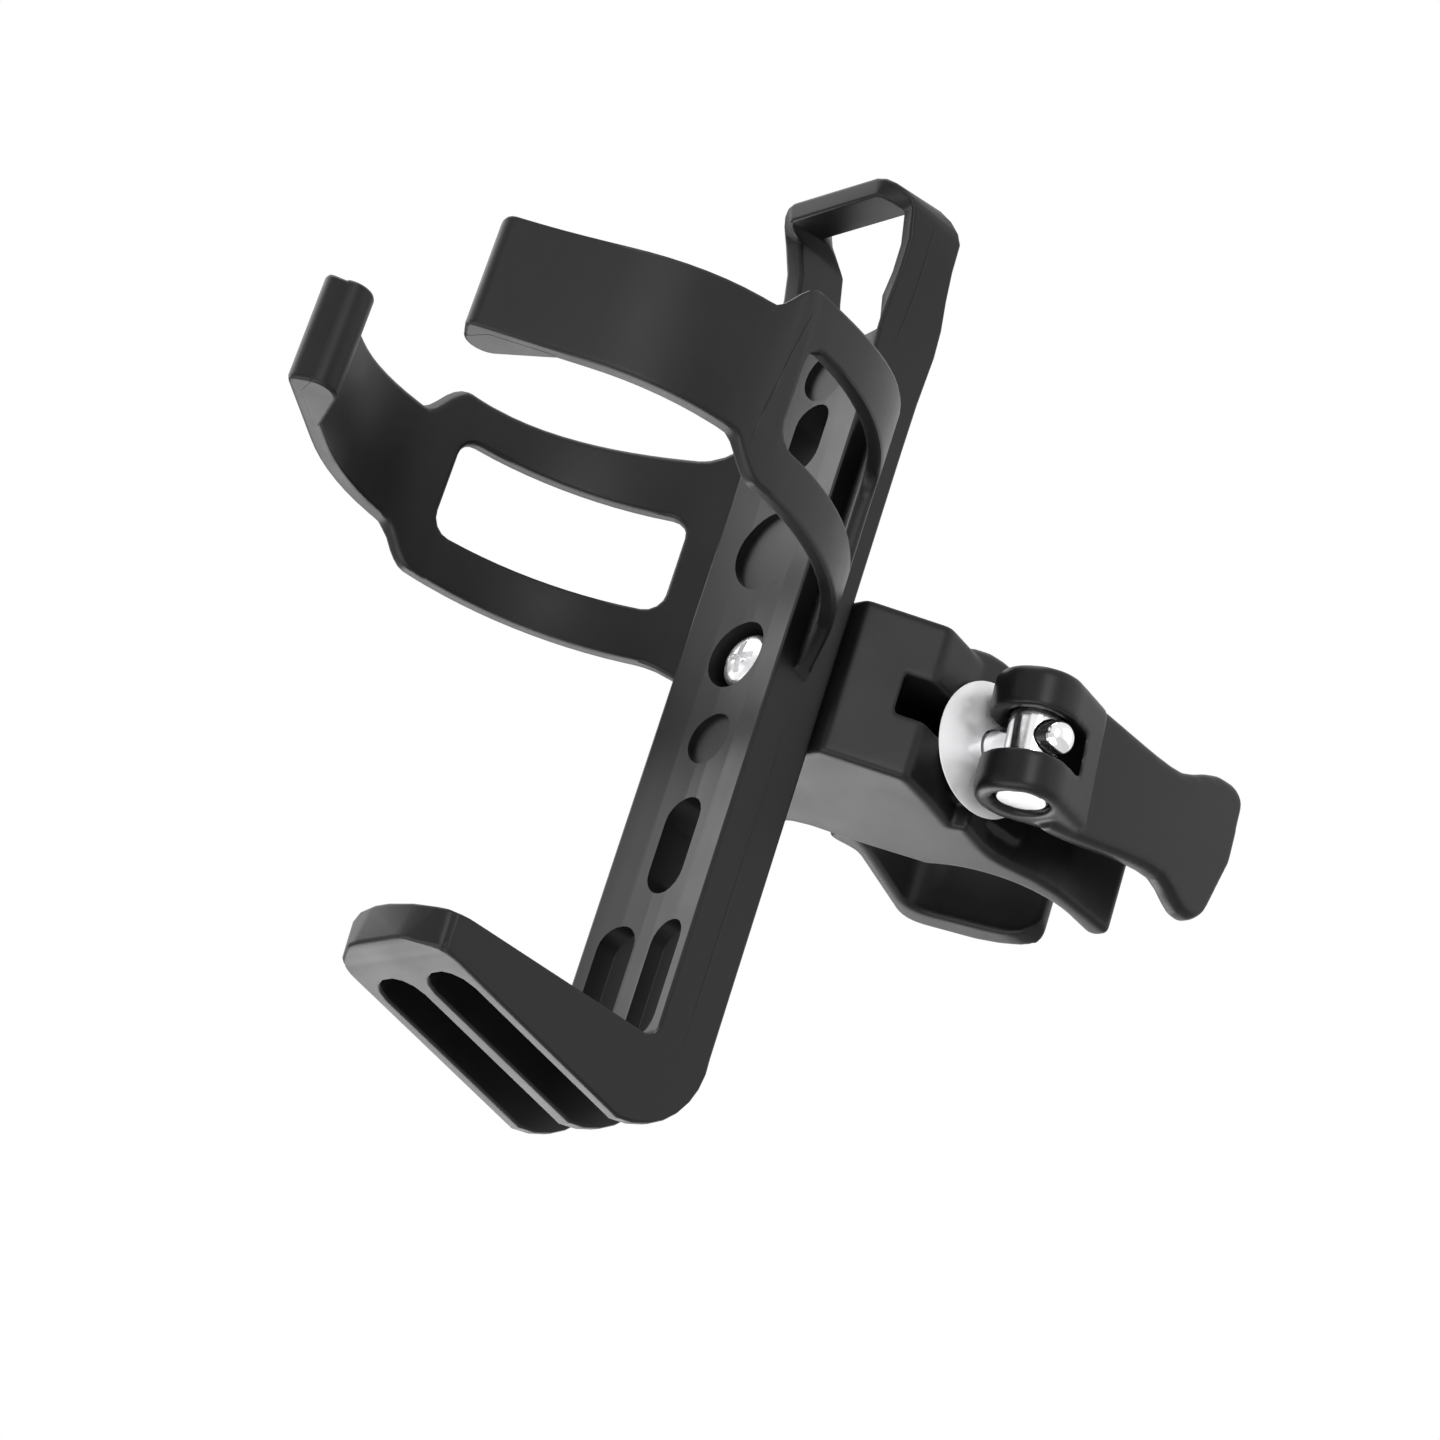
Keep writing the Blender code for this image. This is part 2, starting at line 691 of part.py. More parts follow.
def make_cage(finish):
    at = (0, -TUBE_TO_SPINE, 0)
    body = place("cage_body", spine_mesh(), finish, at)
    before = -4 * SPINE_DEPTH
    web_back = DISH + WEB
    arms = [place(f"arm_{name}", arm_mesh(side), finish, at) for name, side in (("right", 1), ("left", -1))]
    join(body, *arms)
    boss = moved(rod("Y", BOSS_RADIUS, 0.5 * web_back + 0.5 * DISH, SPINE_DEPTH, MOULD_EDGE))
    join(body, place("screw_boss", boss, finish, at))
    for name, width, length, z in (
        ("oval_collar", OVAL_WIDTH, OVAL_LENGTH, OVAL_Z),
        ("oblong_collar", OBLONG_WIDTH, OBLONG_LENGTH, OBLONG_Z),
    ):
        outline = slot_outline(width + 2 * COLLAR, length + 2 * COLLAR, 0, z)
        join(body, place(name, prism(outline, "Y", DISH + 0.5 * WEB, SPINE_DEPTH), finish, at))
    slot_x = RIB / 2 + (HALF_WIDTH - SIDE_WALL - RIB / 2) / 2
    slot_low = FOOT_TOP + 0.5 * FOOT_BEND
    slot_length = LONG_SLOT_TOP - slot_low
    slot_z = slot_low + slot_length / 2
    past = web_back + FOOT_BEND
    beyond = 2 * SPINE_DEPTH
    through = [
        ("oval_hole", slot_outline(OVAL_WIDTH, OVAL_LENGTH, 0, OVAL_Z), beyond),
        ("oblong_slot", slot_outline(OBLONG_WIDTH, OBLONG_LENGTH, 0, OBLONG_Z), beyond),
        ("long_slot_right", slot_outline(LONG_SLOT_WIDTH, slot_length, slot_x, slot_z), past),
        ("long_slot_left", slot_outline(LONG_SLOT_WIDTH, slot_length, -slot_x, slot_z), past),
        ("screw_counterbore", arc((0, 0), SCREW_HOLE_RADIUS, 0, 360 - 360 / ROUND, ROUND - 1), SCREW_SEAT),
        ("screw_clearance", arc((0, 0), SCREW_RADIUS + GAP, 0, 360 - 360 / ROUND, ROUND - 1), beyond),
    ]
    for name, radius, z in (
        ("small_recess", SMALL_RECESS_RADIUS, SMALL_RECESS_Z),
        ("large_recess", LARGE_RECESS_RADIUS, LARGE_RECESS_Z),
        ("top_recess", TOP_RECESS_RADIUS, TOP_RECESS_Z),
    ):
        through.append((name, arc((0, z), radius, 0, 360 - 360 / ROUND, ROUND - 1), DISH + RECESS_DEPTH))
    for name, outline, depth in through:
        cut(body, place(name, prism(outline, "Y", before, depth), finish, at))
    return body


def make_cage_screw(finish, washer_finish):
    """Screw, washer and nut on the line of the cage's round hole."""
    spine = -TUBE_TO_SPINE
    head_back = SCREW_SEAT - GAP - SCREW_WASHER - GAP
    head_front = head_back - SCREW_HEAD_HEIGHT
    nut_front = SPINE_DEPTH + GAP + NUT_COVER + GAP
    nut_back = nut_front + NUT_HEIGHT
    tip = nut_back
    dome = 5
    profile = [(0, head_front)]
    for k in range(1, dome + 1):
        turn = math.pi / 2 * k / dome
        rise = SCREW_HEAD_HEIGHT * (0.3 + 0.7 * math.cos(turn))
        profile.append((SCREW_HEAD_RADIUS * math.sin(turn), head_back - rise))
    chamfer = 0.3 * SCREW_RADIUS
    profile += [(SCREW_HEAD_RADIUS, head_back), (SCREW_RADIUS, head_back), (SCREW_RADIUS, tip - chamfer)]
    profile += [(SCREW_RADIUS - chamfer, tip), (0, tip)]
    screw = place("cage_screw", turned(profile, "Y"), finish, (0, spine, 0))
    half = CROSS_WIDTH / 2
    long = CROSS_LENGTH / 2
    cross = [(half, half), (half, long), (-half, long), (-half, half), (-long, half), (-long, -half)]
    cross += [(-half, -half), (-half, -long), (half, -long), (half, -half), (long, -half), (long, half)]
    recess = prism(cross, "Y", head_front - SCREW_HEAD_HEIGHT, head_front + CROSS_DEPTH)
    cut(screw, place("cross_recess", recess, finish, (0, spine, 0)))
    washer_back = SCREW_SEAT - GAP
    bore = SCREW_RADIUS + GAP
    ring = [(bore, washer_back), (SCREW_WASHER_RADIUS, washer_back)]
    ring += [(SCREW_WASHER_RADIUS, washer_back - SCREW_WASHER), (bore, washer_back - SCREW_WASHER)]
    place("screw_washer", turned(ring, "Y"), washer_finish, (0, spine, 0))
    corner = NUT_ACROSS / math.sqrt(3)
    hexagon = [(corner * math.sin(math.pi * k / 3), corner * math.cos(math.pi * k / 3)) for k in range(6)]
    nut = place("captive_nut", prism(hexagon, "Y", nut_front, nut_back), washer_finish, (0, spine, 0))
    cut(nut, place("nut_bore", rod("Y", bore, 0, 2 * tip), washer_finish, (0, spine, 0)))


# Clamp: outlines are drawn in clamp units, as x from the tube's axis and y back from the spine's front


def from_spine(x, back, *radius):
    return (x * CLAMP_UNIT, back * CLAMP_UNIT - TUBE_TO_SPINE, *[r * CLAMP_UNIT for r in radius])


def clamp_outline():
    seat = (SPINE_DEPTH + GAP) / CLAMP_UNIT
    outer = [
        from_spine(-14.4, seat, 1.5),
        from_spine(12.9, seat, 1.5),
        from_spine(20.5, 20.6, 2.0),
        from_spine(19.0, 27.0, 4.0),
        from_spine(17.0, 33.6, 0.5),
        from_spine(19.0, 34.9, 0.5),
        from_spine(16.6, 43.0, 8.0),
        from_spine(19.8, 52.5, 12.0),
        from_spine(18.8, 67.0, 1.0),
        from_spine(15.2, 67.2, 1.6),
    ]
    points = rounded(outer + [from_spine(15.2, 62.0), from_spine(0, 60)])[:-2]
    points += arc((0, 0), SADDLE_RADIUS, 14, -74, 14)
    tail = [
        from_spine(4.0, 42.0),
        from_spine(-2.6, 33.6, 14.0),
        from_spine(-8.0, 25.8, 6.0),
        from_spine(-14.4, 25.6, 2.0),
        from_spine(-14.4, seat),
    ]
    return points + rounded(tail, 4)[1:-1]


def make_clamp_body(finish):
    half = CLAMP_HEIGHT / 2
    jaw_half = JAW_HEIGHT / 2 + GAP
    body = place("clamp_body", prism(clamp_outline(), "Z", -half, half, CLAMP_EDGE), finish)
    bolt_y = -BOLT_FROM_TUBE
    hinge_y = -HINGE_FROM_TUBE
    seat_y = SPINE_DEPTH + GAP - TUBE_TO_SPINE
    stepped = [(0, SEAT_BOSS_LOW), (SEAT_BOSS_RADIUS, SEAT_BOSS_LOW)]
    stepped.append((SEAT_BOSS_RADIUS, SEAT_BOSS_HIGH - CLAMP_EDGE))
    stepped.append((SEAT_BOSS_RADIUS - CLAMP_EDGE, SEAT_BOSS_HIGH))
    stepped += [(WASHER_SEAT_RADIUS, SEAT_BOSS_HIGH), (WASHER_SEAT_RADIUS, WASHER_SEAT), (0, WASHER_SEAT)]
    boss = place("washer_seat", turned(stepped, "X"), finish, (0, bolt_y, 0))
    far = 4 * SADDLE_RADIUS
    cut(boss, place("boss_relief", rod("Z", SADDLE_RADIUS + GAP, -far, far), finish))
    under = prism([(-far, -far), (far, -far), (far, far), (-far, far)], "Z", -far, -SEAT_BOSS_DROP)
    cut(boss, place("boss_underside", under, finish))
    join(body, boss)
    lug_half = HALF_WIDTH - SIDE_WALL - GAP
    for sign, name in ((1, "upper"), (-1, "lower")):
        low, high = sorted((sign * (half - GAP), sign * (half - GAP - LUG_HEIGHT)))
        box = [(-lug_half, low), (lug_half, low), (lug_half, high), (-lug_half, high)]
        lug = prism(box, "Y", seat_y - LUG_DEPTH, seat_y + LUG_DEPTH)
        join(body, place(f"key_lug_{name}", lug, finish))
    pocket_side = HINGE_X + KNUCKLE_RADIUS + GAP
    pocket_front = hinge_y - KNUCKLE_RADIUS - GAP
    pocket = [(-far, pocket_front), (pocket_side, pocket_front), (pocket_side, far), (-far, far)]
    pocket_cut = prism(pocket, "Z", -jaw_half, jaw_half)
    slot_front = BOLT_SLOT_FRONT - TUBE_TO_SPINE
    slot_back = bolt_y + BOLT_RADIUS + 2 * GAP
    slot_half = BOLT_SLOT_HEIGHT / 2
    slot = [(slot_front, -slot_half), (slot_back, -slot_half)]
    slot += [(slot_back, slot_half), (slot_front, slot_half)]
    slot_cut = prism(slot, "X", -far, far)
    pin_cut = moved(rod("Z", HINGE_PIN_RADIUS + GAP, -far, far), HINGE_X, hinge_y)
    screw_cut = rod("Y", SCREW_RADIUS + GAP, seat_y - far, slot_front - 2 * GAP)
    nut_half = NUT_ACROSS / 2 + GAP
    nut_low = -NUT_ACROSS / math.sqrt(3) - GAP
    nut_front = seat_y + NUT_COVER
    nut_back = nut_front + NUT_HEIGHT + 2 * GAP
    nut_slot = [(-nut_half, nut_front), (nut_half, nut_front), (nut_half, nut_back), (-nut_half, nut_back)]
    nut_cut = prism(nut_slot, "Z", nut_low, far)
    cutters = {
        "jaw_pocket": pocket_cut,
        "bolt_slot": slot_cut,
        "pin_holes": pin_cut,
        "screw_passage": screw_cut,
        "nut_slot": nut_cut,
    }
    for name, bm in cutters.items():
        cut(body, place(name, bm, finish))
    return body


def jaw_outline():
    outer = [
        (HINGE_X - KNUCKLE_RADIUS, -HINGE_FROM_TUBE),
        (HINGE_X - KNUCKLE_RADIUS, -0.77 * HINGE_FROM_TUBE, 0.7 * KNUCKLE_RADIUS),
        from_spine(-13.4, 29.5, 2.0),
        from_spine(-13.4, 39.2, 2.0),
        from_spine(-12.4, 42.6, 4.0),
        from_spine(-21.4, 62.6, 5.0),
        from_spine(-12.0, 72.2, 9.0),
        from_spine(-3.6, 75.6, 1.2),
        from_spine(JAW_TIP_X / CLAMP_UNIT, 72.8, 1.2),
        from_spine(-8.0, 68.9, 12.0),
        from_spine(-17.4, 60.0, 5.0),
        from_spine(-9.2, 42.2, 8.0),
        (HINGE_X + KNUCKLE_RADIUS, -0.8 * HINGE_FROM_TUBE, 1.4 * KNUCKLE_RADIUS),
        (HINGE_X + KNUCKLE_RADIUS, -HINGE_FROM_TUBE),
    ]
    points = rounded(outer)
    hinge = (HINGE_X, -HINGE_FROM_TUBE)
    return points + arc(hinge, KNUCKLE_RADIUS, 0, -180, 12)[1:-1]


def make_swing_jaw(finish, pin_finish):
    hinge_y = -HINGE_FROM_TUBE
    hinge = bpy.data.objects.new("jaw_hinge_axis", None)
    bpy.context.scene.collection.objects.link(hinge)
    hinge.location = (HINGE_X, hinge_y, 0)
    half = JAW_HEIGHT / 2
    bm = prism(jaw_outline(), "Z", -half, half, JAW_EDGE)
    jaw = place("swing_jaw", moved(bm, -HINGE_X, -hinge_y), finish, parent=hinge)
    far = 2 * CLAMP_HEIGHT
    offset_y = -BOLT_FROM_TUBE - hinge_y
    pin_cut = rod("Z", HINGE_PIN_RADIUS + GAP, -far, far)
    slot_half = BOLT_SLOT_HEIGHT / 2
    reach = BOLT_RADIUS + 3 * GAP
    slot = slot_outline(2 * slot_half, 2 * reach + GAP)
    slot_cut = moved(prism([(p[1], p[0]) for p in slot], "X", -far, far), y=offset_y)
    trough = moved(rod("Z", T_HEAD_RADIUS + T_HEAD_PLAY, -far, far), T_HEAD_X - HINGE_X, offset_y)
    corner = JAW_TIP_CORNER
    for name, cutter in (("knuckle_bore", pin_cut), ("jaw_bolt_slot", slot_cut), ("t_head_trough", trough)):
        cut(jaw, place(name, cutter, finish, parent=hinge))
    tip_x = JAW_TIP_X - HINGE_X
    for sign in (1, -1):
        edge_z = sign * (half - corner)
        start = tip_x - corner
        wedge = [(start, edge_z + sign * corner)]
        wedge += [(start + corner * math.sin(t), edge_z + sign * corner * math.cos(t)) for t in tip_angles()]
        past_z = edge_z + 2 * sign * corner
        wedge += [(tip_x + corner, edge_z), (tip_x + corner, past_z), (start, past_z)]
        low = 0.5 * SADDLE_RADIUS - hinge_y
        cutter = prism(wedge, "Y", low, low + far)
        cut(jaw, place(f"tip_corner_{'upper' if sign > 0 else 'lower'}", cutter, finish, parent=hinge))
    pin_half = CLAMP_HEIGHT / 2 - GAP
    pin = rod("Z", HINGE_PIN_RADIUS, -pin_half, pin_half, 0.2 * HINGE_PIN_RADIUS)
    place("hinge_pin", pin, pin_finish, (HINGE_X, hinge_y, 0))


def tip_angles(steps=5):
    return [math.pi / 2 * k / steps for k in range(1, steps + 1)]


# Bolt, washer, barrel and lever share the bolt's line


def make_bolt(finish):
    bolt_y = -BOLT_FROM_TUBE
    end = PIVOT_X + BARREL_RADIUS + BOLT_TIP
    shank = rod("X", BOLT_RADIUS, T_HEAD_X, end, 0.35 * BOLT_RADIUS)
    bolt = place("clamp_bolt", shank, finish, (0, bolt_y, 0))
    half = T_HEAD_LENGTH / 2
    head = moved(rod("Z", T_HEAD_RADIUS, -half, half, 0.2 * T_HEAD_RADIUS), T_HEAD_X)
    join(bolt, place("t_head", head, finish, (0, bolt_y, 0)))


def make_dished_washer(finish):
    low = WASHER_SEAT + GAP
    flat = WASHER_SEAT_RADIUS
    under = []
    over = []
    steps = 5
    for k in range(steps + 1):
        share = k / steps
        radius = flat + (DISH_WASHER_RADIUS - flat) * share
        rise = DISH_WASHER_RISE * share**2
        under.append((radius, low + rise))
        over.append((radius, low + rise + DISH_WASHER))
    bore = BOLT_RADIUS + GAP
    profile = [(bore, low), *under, *reversed(over), (bore, low + DISH_WASHER)]
    place("dished_washer", turned(profile, "X", 40), finish, (0, -BOLT_FROM_TUBE, 0))


def cam_radius():
    """Pivot to the cam face that bears on the washer when the lever is closed."""
    return PIVOT_X - (WASHER_SEAT + GAP + DISH_WASHER + GAP)


def cam_outline():
    closed = cam_radius()
    points = []
    steps = 11
    for k in range(steps + 1):
        share = k / steps
        angle = math.pi + math.radians(CAM_TURN_DEG) * share
        radius = closed - CAM_LIFT * share
        points.append((radius * math.cos(angle), radius * math.sin(angle)))
    outer_x = 0.3 * PADDLE_THICKNESS
    shoulder = 0.75 * PADDLE_LENGTH / 3
    front = closed - CAM_LIFT
    points += [(p.x, p.y) for p in arc((0, 0), front, CAM_TURN_DEG - 180 + 20, 20, 8)]
    points += [(outer_x + HEAD_FILLET, shoulder), (outer_x - PADDLE_THICKNESS, shoulder)]
    points.append((-closed, 0.35 * closed))
    return points


def paddle_mesh():
    """The flat of the lever: a waisted plate curving in a little, with a flared, slanted and rounded end."""
    bm = bmesh.new()
    start = 0.14 * PADDLE_LENGTH
    reach = PADDLE_LENGTH - start
    steps = 13
    corner_from = reach - PADDLE_CORNER
    stations = [(corner_from * k / steps, 0.0) for k in range(steps + 1)]
    for degrees in (25, 50, 72, 90):
        turn = math.radians(degrees)
        run = corner_from + PADDLE_CORNER * math.sin(turn)
        stations.append((run, PADDLE_CORNER * (1 - math.cos(turn))))
    slant = math.tan(math.radians(PADDLE_END_SLANT_DEG))
    chamfer = PADDLE_EDGE
    rings = []
    for run, trim in stations:
        share = run / reach
        waist = PADDLE_SHOULDER + (PADDLE_WAIST - PADDLE_SHOULDER) * ease(share / 0.62)
        half = waist + (PADDLE_FLARE - PADDLE_WAIST) * ease((share - 0.62) / 0.28) - trim
        outer = 0.3 * PADDLE_THICKNESS - PADDLE_CURVE * share**2
        inner = outer - PADDLE_THICKNESS
        ring = []
        for x, z in (
            (outer - chamfer, -half),
            (outer, chamfer - half),
            (outer, 0.0),
            (outer, half - chamfer),
            (outer - chamfer, half),
            (inner + chamfer, half),
            (inner, half - chamfer),
            (inner, 0.0),
            (inner, chamfer - half),
            (inner + chamfer, -half),
        ):
            bulge = PADDLE_END_RADIUS - math.sqrt(PADDLE_END_RADIUS**2 - z * z)
            y = start + run - bulge * share + slant * z * share**3
            ring.append(bm.verts.new((x, y, z)))
        rings.append(ring)
    for first, second in zip(rings, rings[1:]):
        skin(bm, first, second)
    for ring in (rings[0], rings[-1]):
        bm.faces.new((ring[0], ring[1], ring[2], ring[7], ring[8], ring[9]))
        bm.faces.new((ring[2], ring[3], ring[4], ring[5], ring[6], ring[7]))
    bmesh.ops.recalc_face_normals(bm, faces=bm.faces)
    return bm


def make_lever(finish, barrel_finish):
    swivel = bpy.data.objects.new("lever_swivel_axis", None)
    bpy.context.scene.collection.objects.link(swivel)
    swivel.location = (PIVOT_X, -BOLT_FROM_TUBE, 0)
    swivel.rotation_euler = (math.radians(LEVER_SWIVEL_DEG), 0, 0)
    head = prism(cam_outline(), "Z", -EAR_HALF_WIDTH, EAR_HALF_WIDTH, HEAD_EDGE)
    lever = place("cam_lever", head, finish, parent=swivel)
    join(lever, place("paddle", paddle_mesh(), finish, parent=swivel))
    far = PADDLE_LENGTH
    bore = rod("Z", BARREL_RADIUS + GAP, -far, far)
    slot = rod("Z", EAR_SLOT_RADIUS, -EAR_SLOT_HALF, EAR_SLOT_HALF)
    mouth_top = BOLT_RADIUS + 2 * GAP
    mouth_box = [(-far, -far), (0, -far), (0, mouth_top), (-far, mouth_top)]
    mouth = prism(mouth_box, "Z", -EAR_SLOT_HALF, EAR_SLOT_HALF)
    for name, cutter in (("barrel_bore", bore), ("ear_slot", slot), ("ear_slot_mouth", mouth)):
        cut(lever, place(name, cutter, finish, parent=swivel))
    half = EAR_HALF_WIDTH - BARREL_INSET
    bar = rod("Z", BARREL_RADIUS, -half, half, 0.1 * BARREL_RADIUS)
    barrel = place("pivot_barrel", bar, barrel_finish, parent=swivel)
    cross = rod("X", BOLT_RADIUS + GAP, -far, far)
    cut(barrel, place("barrel_cross_hole", cross, barrel_finish, parent=swivel))


def main():
    clear_scene()
    plastic = material("black_plastic", (0.018, 0.018, 0.019), 0.42, 0.0)
    clamp_plastic = material("clamp_plastic", (0.018, 0.018, 0.019), 0.45, 0.0)
    lever_plastic = material("lever_plastic", (0.016, 0.016, 0.017), 0.4, 0.0)
    chrome = material("bright_chrome", (0.82, 0.82, 0.83), 0.12, 1.0)
    steel = material("zinc_steel", (0.62, 0.62, 0.63), 0.3, 1.0)
    make_cage(plastic)
    make_cage_screw(chrome, steel)
    make_clamp_body(clamp_plastic)
    make_swing_jaw(clamp_plastic, steel)
    make_bolt(chrome)
    make_dished_washer(chrome)
    make_lever(lever_plastic, chrome)


main()
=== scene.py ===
import json
import math

import bmesh
import bpy
from mathutils import Matrix, Vector
from mathutils.bvhtree import BVHTree


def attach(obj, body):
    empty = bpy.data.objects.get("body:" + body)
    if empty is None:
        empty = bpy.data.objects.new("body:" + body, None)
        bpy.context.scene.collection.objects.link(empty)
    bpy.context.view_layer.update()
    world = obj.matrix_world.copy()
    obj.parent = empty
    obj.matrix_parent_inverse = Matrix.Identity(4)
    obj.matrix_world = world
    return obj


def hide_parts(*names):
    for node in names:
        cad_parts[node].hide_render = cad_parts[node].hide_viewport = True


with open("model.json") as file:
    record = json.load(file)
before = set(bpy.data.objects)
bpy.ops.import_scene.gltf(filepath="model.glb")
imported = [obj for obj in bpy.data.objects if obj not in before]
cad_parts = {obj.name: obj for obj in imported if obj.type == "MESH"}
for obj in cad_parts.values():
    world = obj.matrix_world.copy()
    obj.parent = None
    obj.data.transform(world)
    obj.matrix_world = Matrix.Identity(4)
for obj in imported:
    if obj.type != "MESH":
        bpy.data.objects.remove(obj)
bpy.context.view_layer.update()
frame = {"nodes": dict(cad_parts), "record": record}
NODES = frame["nodes"]
RECORD = frame["record"]
SLOT_OF = {row["node"]: row["material_slot"] for row in RECORD["subparts"]}
BODY_OF = {member: body for body, members in RECORD["behaviour"]["bodies"].items() for member in members}

MM = 0.001

# Camera: the photograph's angle, from below and in front of the lever side
CAMERA_AT = (0.46968, -0.41144, -0.28161)
CAMERA_RIGHT = (0.6771, 0.6800, 0.2813)
CAMERA_DOWN = (-0.1303, 0.4870, -0.8636)
SENSOR = 36.0
LENS = 115.8125
CLIP_FROM = 0.01

# Stage: a pale floor that glows for the camera and in reflections, and keeps a share of its own shading
FLOOR_Z = -0.42
FLOOR_SIZE = 60.0
FLOOR_COLOUR = (0.86, 0.86, 0.86, 1)
FLOOR_ROUGHNESS = 0.9
FLOOR_GLOW = (0.9, 0.9, 0.9, 1)
FLOOR_SHARE = 0.8

# Light tent: white below and at the sides, dim overhead, between two heights of the sky's sphere
TENT_COLOUR = (1, 1, 1, 1)
TENT_LOW = 0.9
TENT_TOP = 0.12
TENT_FROM = -0.25
TENT_TO = 0.45
TENT_SEEN = 1.0

# Soft lamps: name, place, width and height in metres, and watts
LAMPS_FACE = (0, -0.06, 0)
LAMPS = (
    ("under", (0.05, -0.25, -0.38), (0.7, 0.5), 2.5),
    ("under_back", (-0.42, 0.20, -0.28), (0.7, 0.7), 0.8),
    ("under_foot", (-0.32, 0.115, -0.295), (0.25, 0.25), 0.95),
    ("front_left", (-0.43, -0.39, 0.25), (0.6, 0.6), 2.6),
    ("side_back", (0.46, 0.30, 0.27), (0.6, 0.6), 0.5),
    ("side", (0.75, -0.5, 0.15), (0.3, 0.6), 2.6),
    ("top", (-0.2, -0.3, 0.8), (0.5, 0.5), 2.0),
)

# Materials: the part of a noise that is used, the moulding's flow marks and the plating's streaks
NOISE_FROM = 0.3
NOISE_TO = 0.7
FLOW_SIZE = 14 * MM
FLOW_DARK_AT = 0.32
FLOW_PALE_AT = 0.72
PLASTIC_SHEEN = 0.05
PLASTIC_GRAIN = 0.35
PLASTIC_SPECULAR = 0.25
PLASTIC_DARK = (0.005, 0.005, 0.0053)
PLASTIC_PALE = (0.009, 0.009, 0.0094)
LEVER_PALE = (0.008, 0.008, 0.0084)
STREAK_STRETCH = 14
STREAK_SMOOTH = 0.7
STREAK_ROUGH = 1.4
STREAK_BUMP = 0.15
STREAK_DEPTH = 0.01 * MM
CHROME = (0.86, 0.86, 0.87)
ZINC = (0.62, 0.62, 0.63)
SATIN = (0.9, 0.9, 0.91)

# Shading of carried-over solids
WELD = 0.004 * MM
FLAT_DEG = 0.3
SHARP_DEG = 32.0
SOFTEN_DEG = 50.0
EDGE_ROUND = 0.3 * MM
EDGE_STEPS = 2

# Moulded skins: the grid that a plastic solid is meshed on again, and passes that soften its edges
GRID = 0.3 * MM
SOFT_FACTOR = 0.5
SOFT_PASSES = {"clamp_body": 12, "swing_jaw": 18, "cam_lever": 24}

# The foot's nose: its corners are drawn in from its side and front lines to an ellipse about these places
NOSE_X = 3.0 * MM
NOSE_Y = -92.0 * MM
NOSE_BELOW = -55.0 * MM
NOSE_SIDE = 8.1 * MM
NOSE_FRONT = 6.95 * MM
NOSE_SLANT = (0.512, 0.859)
NOSE_SLANT_AT = 6.69 * MM
NOSE_CUT_TO = -97.4 * MM
NOSE_CUTS = 14

# Arms: the rolled lip at each tip, about the bottle's axis
BOTTLE_Y = -93.3 * MM
ARM_RADIUS = 37.5 * MM
TIP_TURN_DEG = 128.0
TIP_RUN = 17.2 * MM
LIP_RADIUS = 3.3 * MM
LIP_BACK = 3.29 * MM
LIP_TAPER = 13.0 * MM
LIP_ROOT = 2.1 * MM
LIP_INSET = 0.9 * MM
LIP_BOTTOM = 4.97 * MM
LIP_TOP = 21.7 * MM
LIP_EDGE = 0.5 * MM
LIP_STEPS = 12
LIP_STEP_DEG = 10

# The cage screw: how far its head stands out of its seat, and the radius past which only the head reaches
HEAD_LIFT = 1.2 * MM
HEAD_FROM = 3.5 * MM

# The bolt's line, the bright washer on it and the bolt's round end
BOLT_Y = -23.8 * MM
DOME_RADIUS = 9.9 * MM
DOME_BORE = 2.8 * MM
DOME_RIM = 0.15 * MM
DOME_CROWN = 20.75 * MM
DOME_FALL = 1.25 * MM
DOME_FLAT = 4.5 * MM
DOME_POWER = 1.4
DOME_UNDER = 19.36 * MM
DOME_LIFT = 0.02 * MM
DOME_STEPS = 14
DOME_SIDES = 72
RIM_TURNS_DEG = (45, 90, 135)
TIP_RADIUS = 2.52 * MM
TIP_FROM = 33.2 * MM
TIP_RISE = 1.9 * MM
TIP_STEPS = 8
TIP_SIDES = 32

# Mould parting lines on the cage's sides, and the crease where a front band starts, as y and z in millimetres
SPINE_SEAM = [(-53.15, -12.5), (-53.1, -30.0), (-53.2, -46.0), (-53.2, -57.0), (-53.35, -63.2)]
LOOP_SEAM = [(-55.9, 50.5), (-55.6, 55.0), (-55.6, 58.5), (-56.1, 64.5), (-57.0, 70.5)]
BAND_CREASE = [(-90.3, 29.4), (-92.0, 19.0), (-93.4, 9.0), (-93.9, 4.6)]
SEAM_HALF = 0.22 * MM
SEAM_PROUD = 0.1 * MM
SEAM_SUNK = 0.12 * MM
SEAM_STEPS = 40
SEAM_SIDES = 4
SEAM_TAPER = 4
SEAM_LEAST = 0.15
SEAM_REACH = 0.1
TINY = 1e-12


def node(tree, kind, **inputs):
    """A new shader node with the given values on its sockets."""
    made = tree.nodes.new(kind)
    for name, value in inputs.items():
        made.inputs[name.replace("_", " ")].default_value = value
    return made


def principled(name):
    """A new material, its tree and its shader."""
    made = bpy.data.materials.new(name)
    made.use_nodes = True
    tree = made.node_tree
    return made, tree, tree.nodes["Principled BSDF"]


def noise_range(tree, noise, low, high):
    """Socket that runs from low to high over the used part of the noise."""
    made = node(tree, "ShaderNodeMapRange", From_Min=NOISE_FROM, From_Max=NOISE_TO, To_Min=low, To_Max=high)
    tree.links.new(noise.outputs["Fac"], made.inputs["Value"])
    return made.outputs["Result"]


